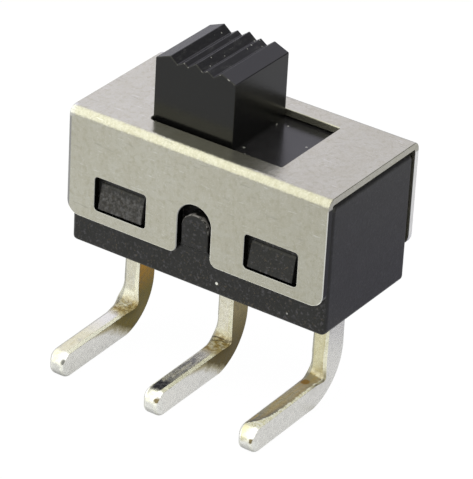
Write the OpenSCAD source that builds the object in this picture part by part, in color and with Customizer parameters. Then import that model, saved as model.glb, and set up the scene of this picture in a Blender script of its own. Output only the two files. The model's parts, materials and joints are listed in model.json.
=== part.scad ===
// Right-angle slide switch: a folded steel cover snapped over a moulded base, with a ridged
// knob that carries the contact clip and a spring-and-ball detent along the slot.
// Millimetres. The origin is the middle of the slot, on the cover's top face: +X is the knob's
// travel, -Y the side that lies on the circuit board, and +Z points out of the knob.

/* [Cover] */
// Length of the folded steel cover
cover_length = 12.5; // [12.2:0.1:16]
// Width over the cover's two side plates
cover_width = 6.56; // [6.4:0.02:8.5]
// Height of the side plates, from the top face
cover_height = 4.87; // [4.75:0.01:5.6]
// Thickness of the cover's sheet
sheet = 0.3; // [0.2:0.02:0.4]
// Inside radius of the two bends
bend_radius = 0.08; // [0.02:0.01:0.2]
// Radius of the side plates' lower corners
cover_corner = 0.6; // [0.2:0.05:0.9]

/* [Windows and notch] */
// Width of each catch window
window_width = 2.56; // [2:0.1:3]
// Height of each catch window
window_height = 1.55; // [1.2:0.02:1.8]
// From the cover's top face down to the windows
window_drop = 2.75; // [2.4:0.01:3]
// Distance between the two windows' centres
window_spacing = 7.36; // [6.6:0.02:9]
// Radius of the windows' corners
window_corner = 0.17; // [0.05:0.01:0.4]
// Width of the arched notch between the windows
notch_width = 1.6; // [1.2:0.02:2]
// From the cover's top face down to the notch's crown
notch_drop = 2.38; // [2:0.02:3]
// Radius of the notch's two mouth corners
notch_mouth = 0.35; // [0.1:0.05:0.6]

/* [Base] */
// From the cover's top face down to the base's underside
base_depth = 6.29; // [5.6:0.01:8]
// How far each end of the base stands back from the cover's end
end_setback = 0.03; // [0:0.01:0.3]
// Thickness of the base's end walls beside the slide plate
end_wall = 0.4; // [0.3:0.05:1]
// Gap between the base's side walls and the cover
side_gap = 0.03; // [0.01:0.01:0.1]
// Gap between the base's rim and the cover's top sheet
rim_gap = 0.1; // [0.05:0.01:0.3]
// Radius of the base's long top edges
base_top_radius = 0.45; // [0.2:0.05:0.8]
// Radius of the base's long bottom edges
base_bottom_radius = 0.12; // [0.04:0.02:0.5]
// Radius of the base's lower end corners
base_end_radius = 0.28; // [0.1:0.02:0.8]
// Radius of the base's upright corners
base_upright_radius = 0.12; // [0.04:0.02:0.4]
// Depth to which the catches stop short of the cover's outer face
catch_recess = 0.03; // [0:0.01:0.1]
// Gap between a catch and each side of its window
catch_side_gap = 0.2; // [0.05:0.05:0.4]
// Gap between a catch and its window's upper edge
catch_top_gap = 0.35; // [0.1:0.05:0.6]
// Gap between a catch and its window's lower edge
catch_bottom_gap = 0.04; // [0.01:0.01:0.1]
// Width of the boss that fills the notch
boss_width = 1.32; // [0.8:0.02:1.6]
// Gap between the boss's crown and the notch's crown
boss_top_gap = 0.5; // [0.1:0.05:0.8]
// Depth to which the bosses stop short of the cover's outer face
boss_recess = 0.1; // [0:0.01:0.2]
// Length of each pad that the cover's top sheet seats on
pad_length = 1.2; // [0.5:0.1:2]
// Width of each pad
pad_width = 0.36; // [0.2:0.02:0.4]
// Distance from a pad to the end of the base
pad_inset = 0.6; // [0.4:0.1:2]

/* [Knob and slide] */
// Length of the knob along its travel
knob_length = 3.8; // [3:0.02:4]
// Width of the knob across its travel
knob_width = 3.74; // [2.8:0.02:4.2]
// Height of the knob's middle ridge above the cover
knob_height = 3; // [2:0.05:6]
// Full travel of the knob
travel = 2.4; // [1.6:0.02:2.5]
// Play between the knob and each end of the slot at its limits
knob_end_play = 0.1; // [0.05:0.01:0.3]
// Gap between the knob and each long side of the slot
knob_side_gap = 0.2; // [0.1:0.05:0.4]
// Gap between every other pair of faces that slide past each other
slide_gap = 0.1; // [0.05:0.01:0.15]
// Thickness of the slide plate that closes the slot
plate_thickness = 0.9; // [0.6:0.05:1.2]
// How far the slide plate reaches under the sheet at each side of the slot
plate_overlap = 0.25; // [0.1:0.05:0.5]
// Length of the block under the slide plate
block_length = 4.5; // [3:0.1:5]
// Width of the block under the slide plate
block_width = 3.6; // [3:0.1:4]
// Height of the block under the slide plate
block_height = 2.8; // [2.4:0.1:3.2]

/* [Detent] */
// Diameter of the two detent balls
ball_diameter = 1; // [0.8:0.05:1.2]
// Radial gap between a ball and the block's cross bore
ball_bore_gap = 0.03; // [0.02:0.01:0.06]
// From the slide plate's underside down to the cross bore's axis
ball_drop = 1; // [0.8:0.05:1.2]
// Depth of the detent grooves in the base's side walls
detent_depth = 0.08; // [0.05:0.01:0.08]
// Gap between a ball and the bottom of its groove
detent_gap = 0.02; // [0.01:0.01:0.03]
// Radius of the detent grooves
detent_radius = 0.6; // [0.55:0.05:1]
// Diameter of the detent spring's wire
spring_wire = 0.12; // [0.08:0.01:0.16]
// Outside diameter of the detent spring
spring_diameter = 0.86; // [0.6:0.02:0.9]
// Number of turns of the detent spring
spring_turns = 6; // [4:1:8]

/* [Contacts] */
// Distance between neighbouring terminals
pitch = 4.7; // [4:0.1:5]
// Width of a terminal along the row
terminal_width = 0.74; // [0.5:0.01:0.9]
// Depth of a terminal across the row
terminal_depth = 1.06; // [0.6:0.02:1.2]
// Gap between a terminal and its slot in the base's floor
terminal_gap = 0.01; // [0:0.01:0.05]
// How far a terminal's collar stands out across the row
collar_reach = 0.22; // [0.1:0.02:0.4]
// Height of a terminal's collar
collar_height = 0.4; // [0.2:0.05:0.6]
// From the base's underside down to the top of the bent legs
leg_drop = 3.76; // [3:0.01:6]
// Thickness of the bent legs
leg_thickness = 1.06; // [0.6:0.02:1.2]
// How far the legs reach past the cover's front face
leg_reach = 2.48; // [1.5:0.02:4]
// Radius of the inside of the terminals' bend
elbow_inner = 0.35; // [0.1:0.05:0.8]
// Radius of the outside of the terminals' bend
elbow_outer = 2.36; // [1.2:0.02:3]
// How far the bend's outer arc would run below the leg's underside
elbow_sink = 0.05; // [0:0.01:0.2]
// Radius of the legs' upper tip edge
tip_upper = 0.45; // [0.1:0.05:0.7]
// Radius of the legs' lower tip edge
tip_lower = 0.3; // [0.1:0.05:0.7]
// Thickness of the contact clip's sheet
clip_sheet = 0.2; // [0.1:0.02:0.24]
// Gap between a contact clip's arm and a terminal
contact_gap = 0.04; // [0.02:0.01:0.08]
// How far the contact clip reaches past an end terminal's centre
contact_overlap = 0.22; // [0:0.02:0.3]
// Length of the flared mouth at each end of the contact clip
clip_flare = 0.4; // [0.2:0.05:0.8]

/* [Hidden] */

STEEL = "#c5c1bb";
BLACK = "#353538";
BRASS = "#c9b26a";
PLATED = "#dedac6";
SPRING_STEEL = "#9a9a9c";

// Half sizes and levels that several pieces share. A level is a depth below the top face.
half_width = cover_width / 2;
bend_outer = bend_radius + sheet;
slot_length = knob_length + travel + 2 * knob_end_play;
slot_width = knob_width + 2 * knob_side_gap;
base_length = cover_length - 2 * end_setback;
half_base = half_width - sheet - side_gap;
rim_level = sheet + rim_gap;
plate_level = sheet + slide_gap;
plate_bottom = plate_level + plate_thickness;
block_bottom = plate_bottom + block_height;
rest_x = -travel / 2;
wall_root = 0.2;  // how deep the catches and the bosses root in the base's side walls
knob_root = plate_thickness / 2;  // how deep the knob and the block root in the slide plate

// The slide plate runs in the upper pocket, on ledges beside the lower one.
pocket_length = base_length - 2 * end_wall;
pocket_width = slot_width + 2 * (plate_overlap + slide_gap);
plate_length = pocket_length - travel - 2 * slide_gap;
plate_width = pocket_width - 2 * slide_gap;
ledge_level = plate_bottom + slide_gap;
well_width = block_width + 2 * slide_gap;

// The contact clip straddles the terminals' blades, under the block.
clip_reach = pitch - travel / 2 + contact_overlap;
clip_inner = terminal_depth / 2 + contact_gap;
clip_outer = clip_inner + clip_sheet;
clip_play = 0.15;
clip_tail = 0.25;  // how far the clip's arms reach below the block
clip_fold = 0.05;  // inside radius of the clip's two bends
cheek_height = 1;
clip_top = block_bottom - cheek_height;
blade_level = clip_top + clip_sheet + clip_play;
clip_bottom = block_bottom + clip_tail;
collar_level = clip_bottom + clip_play;
floor_level = collar_level + collar_height;
well_length = 2 * (clip_reach + travel / 2 + clip_play);
leg_top = base_depth + leg_drop;
leg_bottom = leg_top + leg_thickness;
leg_tip = half_width + leg_reach;

// The balls and the spring share the block's cross bore.
ball_radius = ball_diameter / 2;
ball_level = plate_bottom + ball_drop;
ball_y = well_width / 2 + detent_depth - detent_gap - ball_radius;
spring_radius = (spring_diameter - spring_wire) / 2;
spring_seat = 0.005;  // gap between the spring's end turns and the balls
spring_touch = ball_radius + spring_wire / 2 + spring_seat;
spring_half = ball_y - sqrt(spring_touch ^ 2 - spring_radius ^ 2);

// Ridges on the knob's top, as [distance from its middle, depth below the middle ridge].
ridge_line = [[0, 0], [0.36, 0.275], [0.565, 0.125], [0.87, 0.33], [1.23, 0.04]];
knob_shoulder = 0.32;

cut = 1;  // how far a cutting shape runs past the face that it opens
round_fn = 64;
small_fn = 32;

// Extrudes a [Y, Z] outline along X, centred on the middle of the switch.
module along_x(length) {
    rotate([90, 0, 90]) linear_extrude(length, center = true) children();
}

// Extrudes an [X, Z] outline along Y, centred on the middle of the switch.
module along_y(length) {
    rotate([90, 0, 0]) linear_extrude(length, center = true) children();
}

// A box by its lengths along X and Y, between two depths below the top face.
module block(length, width, from, to) {
    translate([-length / 2, -width / 2, -to]) cube([length, width, to - from]);
}

// A rectangle from [x0, y0] to [x1, y1], with a radius of its own at the two upper
// and at the two lower corners.
module rounded_box(x0, y0, x1, y1, upper, lower) {
    translate([x0 + lower, y0]) square([x1 - x0 - 2 * lower, lower]);
    translate([x0, y0 + lower]) square([x1 - x0, y1 - y0 - lower - upper]);
    translate([x0 + upper, y1 - upper]) square([x1 - x0 - 2 * upper, upper]);
    for (x = [x0 + lower, x1 - lower])
        translate([x, y0 + lower]) circle(lower, $fn = small_fn);
    for (x = [x0 + upper, x1 - upper])
        translate([x, y1 - upper]) circle(upper, $fn = small_fn);
}

// What rounding takes off a lower corner at [x, -depth]; side is +1 where the solid
// lies on the corner's -X side, and -1 on its +X side.
module corner_trim(x, depth, radius, side) {
    translate([x, -depth]) difference() {
        translate([side < 0 ? -cut : -radius, -cut]) square([radius + cut, radius + cut]);
        translate([-side * radius, radius]) circle(radius, $fn = round_fn);
    }
}

// The folded sheet's section: a channel that opens downwards.
module channel(width, height, thickness, inner_radius) {
    outer_radius = inner_radius + thickness;
    half = width / 2;
    difference() {
        union() {
            translate([-half, -height]) square([width, height - outer_radius]);
            translate([outer_radius - half, -outer_radius])
                square([width - 2 * outer_radius, outer_radius]);
            for (side = [-1, 1])
                translate([side * (half - outer_radius), -outer_radius])
                    circle(outer_radius, $fn = round_fn);
        }
        rounded_box(
            thickness - half, -height - cut, half - thickness, -thickness, inner_radius,
            inner_radius
        );
    }
}

// The arched notch between the windows, with its mouth corners rounded.
module notch_outline() {
    half = notch_width / 2;
    translate([0, -notch_drop - half]) circle(half, $fn = round_fn);
    translate([-half, -cover_height - cut])
        square([notch_width, cover_height + cut - notch_drop - half]);
    for (side = [-1, 1])
        corner_trim(side * half, cover_height, notch_mouth, -side);
}

module window_outline(centre_x) {
    half = window_width / 2;
    rounded_box(
        centre_x - half, -window_drop - window_height, centre_x + half, -window_drop,
        window_corner, window_corner
    );
}

// Folded steel cover: top plate with the knob's slot, and two pierced side plates.
module frame_cover() {
    color(STEEL) difference() {
        along_x(cover_length) channel(cover_width, cover_height, sheet, bend_radius);
        block(slot_length, slot_width, -cut, sheet + cut);
        along_y(cover_width + 2 * cut) {
            notch_outline();
            for (side = [-1, 1]) {
                window_outline(side * window_spacing / 2);
                corner_trim(side * cover_length / 2, cover_height, cover_corner, side);
            }
        }
    }
}

// The base's outer form: every long edge and end corner has its own radius.
module base_form() {
    half = base_length / 2;
    intersection() {
        along_x(base_length)
            rounded_box(
                -half_base, -base_depth, half_base, -rim_level, base_top_radius,
                base_bottom_radius
            );
        along_y(2 * half_base)
            rounded_box(
                -half, -base_depth, half, -rim_level, base_upright_radius, base_end_radius
            );
        translate([0, 0, -base_depth])
            linear_extrude(base_depth)
                rounded_box(
                    -half, -half_base, half, half_base, base_upright_radius,
                    base_upright_radius
                );
    }
}

// Ramped catch that snaps into a window: slim above, nearly flush at its lower edge.
module catch(centre_x) {
    root = half_base - wall_root;
    top = window_drop + catch_top_gap;
    bottom = window_drop + window_height - catch_bottom_gap;
    lead_in = 0.05;
    translate([centre_x, 0, 0])
        along_x(window_width - 2 * catch_side_gap)
            polygon([
                [-root, -top], [-half_base - lead_in, -top],
                [catch_recess - half_width, -bottom], [-root, -bottom]
            ]);
}

// Round-topped boss that fills the notch, and fades into the base above its lower strip.
module notch_boss() {
    root = half_base - wall_root;
    radius = boss_width / 2;
    crown = notch_drop + boss_top_gap;
    fade = 0.25;
    foot = cover_height - fade;
    intersection() {
        along_x(boss_width)
            polygon([
                [-root, -crown], [boss_recess - half_width, -crown],
                [boss_recess - half_width, fade - foot], [-half_base, -foot],
                [-root, -foot]
            ]);
        along_y(cover_width) {
            translate([0, -crown - radius]) circle(radius, $fn = round_fn);
            translate([-radius, -foot]) square([boss_width, foot - crown - radius]);
        }
    }
}

// Low pads on the rim that the cover's top sheet seats on.
module seat_pads() {
    pad_x = (base_length - pad_length) / 2 - pad_inset;
    pad_y = (pocket_width + pad_width) / 2;
    for (side_x = [-1, 1], side_y = [-1, 1])
        translate([side_x * pad_x, side_y * pad_y, 0])
            block(pad_length, pad_width, sheet, rim_level + base_top_radius);
}

// Vertical grooves in the well's side walls, one pair at each end of the travel.
module detent_grooves() {
    axis_y = well_width / 2 + detent_depth - detent_radius;
    groove_bottom = ball_level + ball_radius + slide_gap;
    for (side_x = [-1, 1], side_y = [-1, 1])
        translate([side_x * travel / 2, side_y * axis_y, -groove_bottom])
            cylinder(
                h = groove_bottom - ledge_level + slide_gap, r = detent_radius, $fn = round_fn
            );
}

// Moulded base: a stepped tub with the terminals' slots, catches and notch bosses.
module base_housing() {
    color(BLACK) difference() {
        union() {
            base_form();
            seat_pads();
            for (turn = [0, 180])
                rotate([0, 0, turn]) {
                    notch_boss();
                    for (side = [-1, 1]) catch(side * window_spacing / 2);
                }
        }
        block(pocket_length, pocket_width, -cut, ledge_level);
        block(well_length, well_width, ledge_level - cut, floor_level);
        detent_grooves();
        for (place = [-1:1])
            translate([place * pitch, 0, 0])
                block(
                    terminal_width + 2 * terminal_gap, terminal_depth + 2 * terminal_gap,
                    floor_level - cut, base_depth + cut
                );
    }
}

// The knob's side view, with its row of ridges between two long outer slopes.
module knob_outline() {
    half = knob_length / 2;
    ridge_count = len(ridge_line) - 1;
    right = [for (point = ridge_line) [point[0], knob_height - point[1]]];
    left = [for (i = [ridge_count:-1:1]) [-right[i][0], right[i][1]]];
    polygon(concat(
        [[-half, -plate_level - knob_root], [-half, knob_height - knob_shoulder]], left,
        right, [[half, knob_height - knob_shoulder], [half, -plate_level - knob_root]]
    ));
}

// Moulded slider: knob, slide plate and the block that holds the detent and the clip.
module slider_knob() {
    color(BLACK) translate([rest_x, 0, 0]) difference() {
        union() {
            along_y(knob_width) knob_outline();
            block(plate_length, plate_width, plate_level, plate_bottom);
            block(block_length, block_width, plate_bottom - knob_root, block_bottom);
        }
        translate([0, 0, -ball_level])
            rotate([90, 0, 0])
                cylinder(
                    h = block_width + 2 * cut, r = ball_radius + ball_bore_gap,
                    center = true, $fn = round_fn
                );
        block(block_length + 2 * cut, 2 * clip_outer, clip_top, block_bottom + cut);
    }
}

// Flared mouth of one of the clip's arms, in plan, at its +X and +Y end.
module flare_outline() {
    start = clip_reach - clip_flare;
    polygon([
        [start, clip_inner], [clip_reach, clip_inner + clip_sheet],
        [clip_reach, clip_outer + clip_sheet], [start, clip_outer]
    ]);
}

// Bridging contact clip: a bronze channel that straddles two neighbouring blades.
module contact_clip() {
    flare_top = clip_top + clip_sheet + clip_fold;
    color(BRASS) translate([rest_x, 0, 0]) {
        translate([0, 0, -clip_top])
            along_x(2 * (clip_reach - clip_flare))
                channel(2 * clip_outer, clip_bottom - clip_top, clip_sheet, clip_fold);
        for (side_x = [0, 1], side_y = [0, 1])
            mirror([side_x, 0, 0]) mirror([0, side_y, 0])
                translate([0, 0, -clip_bottom])
                    linear_extrude(clip_bottom - flare_top) flare_outline();
    }
}

// The terminal's side view in [Y, Z]: blade, collar, shank and the leg that points to -Y.
// The bend's outer arc meets the leg's underside at a slight corner, as the coined bend does.
module terminal_outline() {
    half = terminal_depth / 2;
    elbow_y = half - elbow_outer;
    elbow_z = elbow_outer - elbow_sink - leg_bottom;
    leg_start = elbow_y + sqrt(elbow_outer ^ 2 - (elbow_outer - elbow_sink) ^ 2);
    translate([-half, -floor_level]) square([terminal_depth, floor_level - blade_level]);
    translate([-half - collar_reach, -floor_level])
        square([terminal_depth + 2 * collar_reach, collar_height]);
    translate([-half, elbow_z]) square([terminal_depth, -floor_level - elbow_z]);
    intersection() {
        translate([elbow_y, elbow_z]) circle(elbow_outer, $fn = round_fn);
        translate([leg_start, -leg_bottom])
            square([half - leg_start, elbow_z + leg_bottom]);
        union() {
            translate([-half, -leg_bottom]) square([terminal_depth, elbow_z + leg_bottom]);
            translate([leg_start, -leg_bottom]) square([half - leg_start, leg_thickness]);
        }
    }
    difference() {
        translate([-half - elbow_inner, -leg_top - leg_thickness / 2])
            square([elbow_inner, elbow_inner + leg_thickness / 2]);
        translate([-half - elbow_inner, elbow_inner - leg_top])
            circle(elbow_inner, $fn = round_fn);
    }
    difference() {
        translate([-leg_tip, -leg_bottom]) square([leg_tip + leg_start, leg_thickness]);
        corner_trim(-leg_tip, leg_bottom, tip_lower, -1);
        mirror([0, 1]) corner_trim(-leg_tip, -leg_top, tip_upper, -1);
    }
}

// One of the three alike terminals, at its place in the row.
module terminal(place) {
    color(PLATED) translate([place * pitch, 0, 0]) along_x(terminal_width) terminal_outline();
}

module terminal_left() {
    terminal(-1);
}

module terminal_centre() {
    terminal(0);
}

module terminal_right() {
    terminal(1);
}

// Point on the spring's wire surface: turn along the coil, angle around the wire.
function spring_point(turn, angle) =
    let (
        reach = spring_radius + spring_wire / 2 * cos(angle),
        along = -spring_half + 2 * spring_half * turn / spring_turns
            + spring_wire / 2 * sin(angle)
    )
    [reach * cos(360 * turn), along, reach * sin(360 * turn)];

// Detent spring: a coil along Y, as a tube swept round its helix.
module detent_spring() {
    steps_per_turn = 20;
    sides = 8;
    rings = spring_turns * steps_per_turn;
    points = [
        for (ring = [0:rings], side = [0:sides - 1])
            spring_point(ring / steps_per_turn, 360 * side / sides)
    ];
    walls = [
        for (ring = [0:rings - 1], side = [0:sides - 1])
            let (next = (side + 1) % sides, row = ring * sides)
            [row + side, row + next, row + sides + next, row + sides + side]
    ];
    caps = [
        [for (side = [sides - 1:-1:0]) side],
        [for (side = [0:sides - 1]) rings * sides + side]
    ];
    color(SPRING_STEEL) translate([rest_x, 0, -ball_level])
        polyhedron(points, concat(walls, caps));
}

module detent_ball(side) {
    color(SPRING_STEEL)
        translate([rest_x, side * ball_y, -ball_level])
            sphere(ball_radius, $fn = round_fn);
}

module detent_ball_front() {
    detent_ball(-1);
}

module detent_ball_back() {
    detent_ball(1);
}

frame_cover();
base_housing();
slider_knob();
contact_clip();
terminal_left();
terminal_centre();
terminal_right();
detent_spring();
detent_ball_front();
detent_ball_back();
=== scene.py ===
import json
import math

import bmesh
import bpy
from mathutils import Euler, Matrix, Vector
from mathutils.geometry import delaunay_2d_cdt


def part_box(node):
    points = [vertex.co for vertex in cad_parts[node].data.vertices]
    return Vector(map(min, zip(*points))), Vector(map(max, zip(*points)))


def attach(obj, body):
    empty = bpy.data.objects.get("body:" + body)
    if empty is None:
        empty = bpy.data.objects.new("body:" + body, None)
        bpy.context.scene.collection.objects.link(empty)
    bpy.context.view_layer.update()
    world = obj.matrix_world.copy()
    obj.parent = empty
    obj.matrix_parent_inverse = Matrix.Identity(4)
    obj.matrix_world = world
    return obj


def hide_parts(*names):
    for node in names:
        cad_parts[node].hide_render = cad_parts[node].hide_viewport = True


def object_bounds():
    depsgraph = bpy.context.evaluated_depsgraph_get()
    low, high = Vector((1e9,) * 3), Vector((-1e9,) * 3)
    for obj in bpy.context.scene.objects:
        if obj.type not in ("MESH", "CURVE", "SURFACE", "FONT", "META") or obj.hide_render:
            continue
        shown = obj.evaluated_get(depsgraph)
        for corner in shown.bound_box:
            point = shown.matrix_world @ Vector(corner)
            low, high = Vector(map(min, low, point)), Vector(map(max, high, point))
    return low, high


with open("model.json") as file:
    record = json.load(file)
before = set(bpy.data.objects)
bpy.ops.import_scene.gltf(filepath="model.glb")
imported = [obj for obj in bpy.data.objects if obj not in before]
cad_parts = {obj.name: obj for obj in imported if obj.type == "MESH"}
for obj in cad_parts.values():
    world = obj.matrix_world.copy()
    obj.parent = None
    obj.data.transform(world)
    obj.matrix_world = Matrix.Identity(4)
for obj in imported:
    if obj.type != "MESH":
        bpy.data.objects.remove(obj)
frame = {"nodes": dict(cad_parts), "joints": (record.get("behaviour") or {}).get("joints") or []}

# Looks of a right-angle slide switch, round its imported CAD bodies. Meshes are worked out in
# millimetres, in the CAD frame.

CAD_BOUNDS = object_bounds()
MM = 0.001
LARGEST_TURN, LARGEST_SAG = 23, 0.002  # of one side of a round corner, in degrees and millimetres
SHARP_EDGE, SHARP_LEG_EDGE = 35, 50  # degrees from which an edge stays crisp


def box_mm(node):
    low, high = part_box(node)
    return low / MM, high / MM


COVER_LOW, COVER_HIGH = box_mm("frame_cover")
BASE_LOW, BASE_HIGH = box_mm("base_housing")
SLIDER_LOW, SLIDER_HIGH = box_mm("slider_knob")
LEG_LOW, LEG_HIGH = box_mm("terminal_centre")

# Folded cover. A side is half a width, and a drop is a depth below the top face.
SHEET = 0.3
COVER_SIDE = COVER_HIGH.y + 0.03
COVER_ENDS = (COVER_LOW.x - 0.03, COVER_HIGH.x + 0.01)
BEND_OUTER = 0.38
COVER_CORNER = 0.6
WINDOW_WIDTH, WINDOW_HEIGHT, WINDOW_DROP = 2.56, 1.56, 2.77
WINDOW_MIDDLES, WINDOW_CORNER = (-3.63, 3.73), 0.17
NOTCH_WIDTH, NOTCH_DROP, NOTCH_MOUTH, NOTCH_MIDDLE = 1.63, 2.38, 0.35, 0.02
SLOT_ENDS, SLOT_WIDTH, SLOT_CORNERS = (-3.18, 3.22), 4.24, (0.2, 0.05, 0.05, 0.2)
OUTER_RIM, INNER_RIM, WINDOW_RIM_SHARE = 0.05, 0.004, 0.5

# Base. Tops, bottoms and levels are depths below the cover's top face, too.
BASE_HALF_LENGTH = BASE_HIGH.x + 0.03
BASE_SIDE = COVER_SIDE - SHEET - 0.04
BASE_TOP = -0.4
BASE_TOP_RADIUS, BASE_BOTTOM_RADIUS, BASE_END_RADIUS, BASE_UPRIGHT_RADIUS = 0.45, 0.15, 0.22, 0.24
CATCH_SPACING = 7.36
CATCH_WIDTH, CATCH_TOP, CATCH_BOTTOM, CATCH_RECESS, CATCH_LEAD = 2.16, 3.06, 4.26, 0.03, 0.05
CATCH_EASE, CATCH_RIM, CATCH_CORNER = 0.22, 0.045, 0.05
BOSS_WIDTH, BOSS_CROWN, BOSS_FOOT, BOSS_FADE, BOSS_RECESS = 1.32, 2.88, 4.62, 0.25, 0.1
BOSS_RIM, BOSS_CORNER = 0.07, 0.08
WALL_ROOT = 0.2
HOLLOW_DEPTH, HOLLOW_LENGTH, HOLLOW_TOP, HOLLOW_BOTTOM = 0.4, 2.1, 1.8, 4.5  # round each boss
HOLLOW_CORNER = 0.1
POCKET_LENGTH, POCKET_WIDTH, LEDGE_LEVEL = 11.64, 4.84, 1.4
WELL_LENGTH, WELL_WIDTH, FLOOR_LEVEL = 10.14, 3.8, 4.9
PAD_LENGTH, PAD_WIDTH, PAD_INSET = 1.2, 0.36, 0.6
GROOVE_RADIUS, GROOVE_DEPTH, GROOVE_BOTTOM = 0.6, 0.08, 2.9

# Slider, whose middle stands at REST_X.
TRAVEL = frame["joints"][0]["range_m"][1] / MM
REST_X = -TRAVEL / 2
KNOB_LENGTH, KNOB_WIDTH, KNOB_SHOULDER, KNOB_SHIFT = 3.87, 3.8, 0.32, -0.01
KNOB_RIM, KNOB_CORNER, RIDGE_CORNER = 0.045, 0.05, 0.046
RIDGES = [(0, 0), (0.36, 0.275), (0.565, 0.125), (0.87, 0.33), (1.23, 0.04)]
PLATE_LEVEL, PLATE_BOTTOM = 0.4, 1.3
SLIDER_CORNER, SLIDER_RIM = 0.1, 0.05
BLOCK_LENGTH, BLOCK_WIDTH, BLOCK_BOTTOM = 4.5, 3.6, 4.1
CLIP_TOP, CLIP_WIDTH = 3.1, 1.54
BALL_LEVEL, BORE_RADIUS = 2.3, 0.53

# Terminals. A point given as two numbers is (Y, Z).
SHANK_REACH, LEG_HALF_WIDTH = 0.53, 0.37
SQUARE = (LEG_HALF_WIDTH, LEG_HALF_WIDTH)
COLLAR_REACH, COLLAR_TOP = 0.22, 4.5
ELBOW_OUTER, ELBOW_SINK = 2.36, 0.05
SWELL_AT, SWELL_SPREAD = 0.62, 0.25  # where the bend swells most, as a share of its run
LEG_THICKNESS, LEG_PITCH = 1.14, 4.7
TIP_ROUND, TIP_LEFT, TIP_RIGHT, TIP_REACH, TIP_TURN = 0.53, 0.26, 0.2, 0.12, 0.94
# Width and drop of the facet coined along a leg's right edge: at the shank's top, at the leg, at the tip.
PLAIN_COIN, LEG_COIN, TIP_COIN, COIN_GROWTH = (0.04, 0.04), (0.17, 0.05), (0.26, 0.12), 2.5
# Corner radii of a section: at its left, before and after the facet, and at its back on the right and left.
BLADE_RADII = (0.04, 0.01, 0.01, 0.04, 0.04)
SHANK_RADII = (0.07, 0.02, 0.03, 0.07, 0.07)
BEND_RADII = (0.1, 0.02, 0.03, 0.08, 0.08)
LEG_RADII = (0.1, 0.02, 0.03, 0.1, 0.1), (0.13, 0.02, 0.03, 0.1, 0.1)
NOSE_RADII = (0.13, 0.02, 0.03, 0.12, 0.12), (0.22, 0.04, 0.06, 0.22, 0.34)
SHANK_RINGS, BEND_RINGS, LEG_RINGS, TIP_RINGS = 5, 22, 8, 12  # sections of a leg, from its root down

# Marks on the surfaces.
DIP_POINT, DIP_SLOPE = (-1.29, -10.94), 0.62  # where the solder line starts, and its rise
BEND_MIDDLE = (-1.15, -9.9)
CREASES = ((-10.54, -0.18, 0.9), (-10.69, -0.56, 0.7))  # Y + Z, its fall to the right, and strength
NOSE_LENGTH, NOSE_LOW, NOSE_HIGH = 0.42, 0.8, 0.82
DENT_X, DENT_RISE = 0.26, 0.83
RUST_SPOT = (4.52, -1.36, -9.85)
BASE_SPECKS = ((1.03, -5.75, 0.075, 0.7), (4.45, -5.86, 0.05, 0.25))  # X, Z, size and tone


# --- Meshes ---


def rounded(corners, radii):
    """Closed outline through corners, each rounded to its radius, as [(x, y, normal x, normal y)].

    The solid lies on the outline's left. A corner that doesn't turn stays a point.
    """
    count = len(corners)
    if not isinstance(radii, (list, tuple)):
        radii = [radii] * count
    outline = []
    for i, radius in enumerate(radii):
        before = (Vector(corners[i]) - Vector(corners[i - 1])).normalized()
        after = (Vector(corners[(i + 1) % count]) - Vector(corners[i])).normalized()
        turn = math.atan2(before.x * after.y - before.y * after.x, before.dot(after))
        if abs(turn) < 1e-6:
            outline.append((corners[i][0], corners[i][1], before.y, -before.x))
            continue
        side = math.copysign(1, turn)
        start = Vector(corners[i]) - before * radius * math.tan(abs(turn) / 2)
        centre = start - Vector((before.y, -before.x)) * radius * side
        largest_step = 2 * math.acos(1 - LARGEST_SAG / max(radius, 2 * LARGEST_SAG))
        largest_step = min(math.radians(LARGEST_TURN), largest_step)
        steps = max(2, math.ceil(abs(turn) / largest_step))
        for step in range(steps + 1):
            angle = math.atan2(before.y, before.x) + turn * step / steps
            normal = Vector((math.sin(angle), -math.cos(angle)))
            point = centre + normal * radius * side
            if outline and (Vector(outline[-1][:2]) - point).length < 1e-5:
                continue
            outline.append((point.x, point.y, normal.x, normal.y))
    return outline


def blend(a, b, share):
    """Values that lie at a share of the way from those in a to those in b."""
    return [start + (end - start) * share for start, end in zip(a, b)]


def span(width, middle=0.0):
    """Both ends of a width about its middle."""
    return middle - width / 2, middle + width / 2


def rectangle(x, y):
    """Corners from both ends in X and in Y."""
    return [(x[0], y[0]), (x[1], y[0]), (x[1], y[1]), (x[0], y[1])]


def inside(x, y, outlines):
    """Whether a point lies inside an odd number of the outlines."""
    odd = False
    for outline in outlines:
        for (x0, y0), (x1, y1) in zip(outline, outline[1:] + outline[:1]):
            if (y0 > y) != (y1 > y) and x < x0 + (x1 - x0) * (y - y0) / (y1 - y0):
                odd = not odd
    return odd


def fill(outlines, bridges):
    """Triangles that fill the outlines, as indices into their points in order."""
    points = [point for outline in outlines for point in outline]
    edges, first = list(bridges), 0
    for outline in outlines:
        count = len(outline)
        edges += [(first + i, first + (i + 1) % count) for i in range(count)]
        first += count
    flat = [Vector(point) for point in points]
    coords, _, faces, origins, _, _ = delaunay_2d_cdt(flat, edges, [], 0, 1e-6)
    triangles = []
    for face in faces:
        middle = sum((coords[i] for i in face), Vector((0, 0))) / len(face)
        if inside(middle.x, middle.y, outlines):
            triangles.append([origins[i][0] for i in face])
    return triangles


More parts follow.
